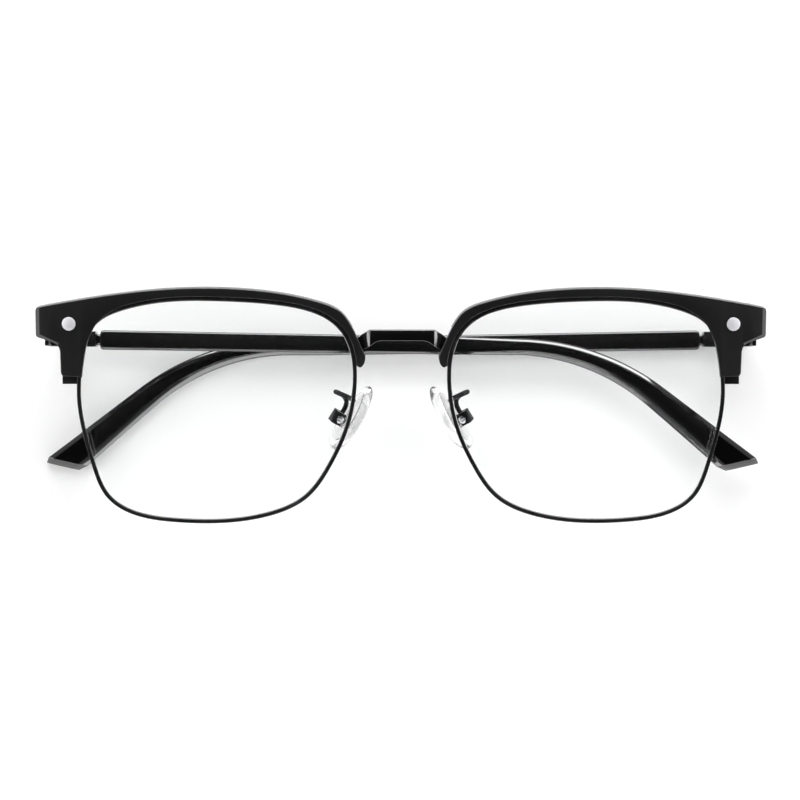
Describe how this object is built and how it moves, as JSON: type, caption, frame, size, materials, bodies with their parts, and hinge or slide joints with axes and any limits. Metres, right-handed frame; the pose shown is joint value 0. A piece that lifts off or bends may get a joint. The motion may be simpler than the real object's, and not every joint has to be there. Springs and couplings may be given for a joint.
{
  "type": "half rim eyeglasses",
  "caption": "Browline eyeglasses with matte brow bars over thin metal rims, clear lenses, a flat metal bridge, adjustable nose pads and folding spring-hinge temples.",
  "frame": {"origin": "middle of the bounding box, on the surface the folded glasses rest on", "axes": "+X to the wearer's left, along the front; +Y to the wearer's up; +Z out of the front, away from the surface"},
  "size_m": [0.1452, 0.047, 0.0234],
  "materials": {
    "rim_metal": "satin black",
    "bar_metal": "semi-gloss black",
    "bright_metal": "bright",
    "hinge_steel": "plain",
    "brow_matte": "matte charcoal",
    "tip_gloss": "polished black",
    "pad_clear": "clear soft silicone",
    "lens_clear": "clear polished"
  },
  "bodies": {
    "frame": {"rim_right": "rim_metal", "rim_left": "rim_metal", "lens_right": "lens_clear", "lens_left": "lens_clear", "brow_right": "brow_matte", "brow_left": "brow_matte", "brow_lug_right": "rim_metal", "brow_lug_left": "rim_metal", "rivet_right": "bright_metal", "rivet_left": "bright_metal", "closing_block_right": "rim_metal", "closing_block_left": "rim_metal", "closing_screw_right": "bright_metal", "closing_screw_left": "bright_metal", "end_piece_right": "rim_metal", "end_piece_left": "rim_metal", "hinge_screw_right": "bright_metal", "hinge_screw_left": "bright_metal", "pad_arm_right": "rim_metal", "pad_arm_left": "rim_metal", "pad_box_right": "rim_metal", "pad_box_left": "rim_metal", "pad_screw_right": "bright_metal", "pad_screw_left": "bright_metal", "bridge": "rim_metal", "brow_screws": "bright_metal"},
    "hinge_slider_right": {"slider_right": "hinge_steel"},
    "temple_right": {"hinge_case_right": "bar_metal", "spring_right": "hinge_steel", "temple_bar_right": "bar_metal", "core_wire_right": "hinge_steel", "ear_tip_right": "tip_gloss"},
    "pad_right": {"nose_pad_right": "pad_clear", "pad_insert_right": "pad_clear"},
    "hinge_slider_left": {"slider_left": "hinge_steel"},
    "temple_left": {"hinge_case_left": "bar_metal", "spring_left": "hinge_steel", "temple_bar_left": "bar_metal", "core_wire_left": "hinge_steel", "ear_tip_left": "tip_gloss"},
    "pad_left": {"nose_pad_left": "pad_clear", "pad_insert_left": "pad_clear"}
  },
  "joints": [
    {"name": "temple_right_hinge", "type": "hinge", "parent": "frame", "child": "hinge_slider_right", "pos_m": [-0.06927, 0.0134, 0.00451], "axis": [0, 1, 0], "range_deg": [0, 95.6]},
    {"name": "temple_right_flex", "type": "slide", "parent": "hinge_slider_right", "child": "temple_right", "axis": [0.9996, 0, 0.0279], "range_m": [0, 0.0012], "stiffness_N_per_m": 800, "springref_m": -0.002},
    {"name": "temple_left_hinge", "type": "hinge", "parent": "frame", "child": "hinge_slider_left", "pos_m": [0.06871, 0.0134, 0.0021], "axis": [0, -1, 0], "range_deg": [0, 93]},
    {"name": "temple_left_flex", "type": "slide", "parent": "hinge_slider_left", "child": "temple_left", "axis": [-1, 0, 0], "range_m": [0, 0.0012], "stiffness_N_per_m": 800, "springref_m": -0.002},
    {"name": "nose_pad_right_rock", "type": "hinge", "parent": "frame", "child": "pad_right", "pos_m": [-0.01286, -0.0024, 0.01088], "axis": [0.3734, -0.363, 0.8537], "range_deg": [-8, 8]},
    {"name": "nose_pad_left_rock", "type": "hinge", "parent": "frame", "child": "pad_left", "pos_m": [0.01256, -0.0024, 0.01044], "axis": [-0.3433, -0.363, 0.8662], "range_deg": [-8, 8]}
  ]
}
